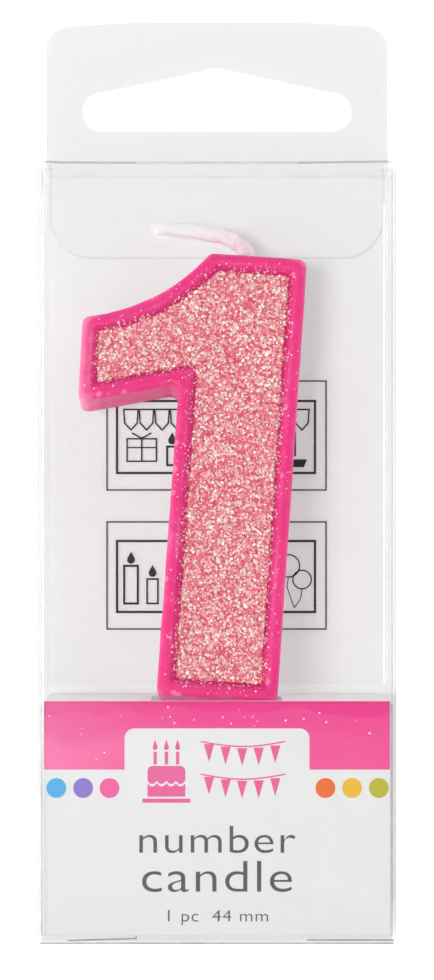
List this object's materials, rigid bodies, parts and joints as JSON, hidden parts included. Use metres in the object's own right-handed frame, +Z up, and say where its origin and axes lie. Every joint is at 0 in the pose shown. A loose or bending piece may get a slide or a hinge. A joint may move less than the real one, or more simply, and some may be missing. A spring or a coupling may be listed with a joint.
{
  "type": "packaged number birthday candle",
  "caption": "Small pink wax candle shaped as a figure, with a glittered face, bent wick and cake pick, in a clear folded hanging box with a printed card.",
  "frame": {"origin": "centre of the closed box's foot", "axes": "+Z up along the box, -Y the front with the printed card, +Y the back with the hang tab"},
  "size_m": [0.035, 0.018, 0.0922],
  "materials": {
    "clear_film": "gloss",
    "clear_glue": "satin",
    "printed_card": "satin",
    "pink_wax": "satin",
    "glitter": "gloss",
    "waxed_cord": "satin",
    "white_plastic": "satin"
  },
  "bodies": {
    "box": {"box_sleeve": "clear_film", "hanger_panel": "clear_film", "glue_seam": "clear_glue", "card_insert": "printed_card"},
    "top_lid": {"top_lid": "clear_film"},
    "top_tuck": {"top_tuck_flap": "clear_film"},
    "top_dust_left": {"top_dust_flap_left": "clear_film"},
    "top_dust_right": {"top_dust_flap_right": "clear_film"},
    "bottom_lid": {"bottom_lid": "clear_film"},
    "bottom_tuck": {"bottom_tuck_flap": "clear_film"},
    "bottom_dust_left": {"bottom_dust_flap_left": "clear_film"},
    "bottom_dust_right": {"bottom_dust_flap_right": "clear_film"},
    "candle": {"candle_body": "pink_wax", "glitter_coat": "glitter", "wick": "waxed_cord", "cake_pick": "white_plastic"}
  },
  "joints": [
    {"name": "top_lid_hinge", "type": "hinge", "parent": "box", "child": "top_lid", "pos_m": [0, 0.00865, 0.0765], "axis": [-1, 0, 0], "range_deg": [0, 88]},
    {"name": "top_tuck_fold", "type": "hinge", "parent": "top_lid", "child": "top_tuck", "pos_m": [0, -0.0083, 0.0762], "axis": [1, 0, 0], "range_deg": [0, 88]},
    {"name": "top_dust_left_fold", "type": "hinge", "parent": "box", "child": "top_dust_left", "pos_m": [-0.0172, 0, 0.0758], "axis": [0, -1, 0], "range_deg": [0, 88]},
    {"name": "top_dust_right_fold", "type": "hinge", "parent": "box", "child": "top_dust_right", "pos_m": [0.0172, 0, 0.0758], "axis": [0, 1, 0], "range_deg": [0, 88]},
    {"name": "bottom_lid_hinge", "type": "hinge", "parent": "box", "child": "bottom_lid", "pos_m": [0, 0.00865, 0], "axis": [1, 0, 0], "range_deg": [0, 88]},
    {"name": "bottom_tuck_fold", "type": "hinge", "parent": "bottom_lid", "child": "bottom_tuck", "pos_m": [0, -0.0083, 0.0003], "axis": [-1, 0, 0], "range_deg": [0, 88]},
    {"name": "bottom_dust_left_fold", "type": "hinge", "parent": "box", "child": "bottom_dust_left", "pos_m": [-0.0172, 0, 0.0007], "axis": [0, 1, 0], "range_deg": [0, 88]},
    {"name": "bottom_dust_right_fold", "type": "hinge", "parent": "box", "child": "bottom_dust_right", "pos_m": [0.0172, 0, 0.0007], "axis": [0, -1, 0], "range_deg": [0, 88]},
    {"name": "candle_lift", "type": "slide", "parent": "box", "child": "candle", "axis": [0, 0, 1], "range_m": [0, 0.003]}
  ],
  "couplings": [
    {"joint": "top_tuck_fold", "follows": "top_lid_hinge", "ratio": 1},
    {"joint": "top_dust_left_fold", "follows": "top_lid_hinge", "ratio": 1},
    {"joint": "top_dust_right_fold", "follows": "top_lid_hinge", "ratio": 1},
    {"joint": "bottom_tuck_fold", "follows": "bottom_lid_hinge", "ratio": 1},
    {"joint": "bottom_dust_left_fold", "follows": "bottom_lid_hinge", "ratio": 1},
    {"joint": "bottom_dust_right_fold", "follows": "bottom_lid_hinge", "ratio": 1}
  ]
}
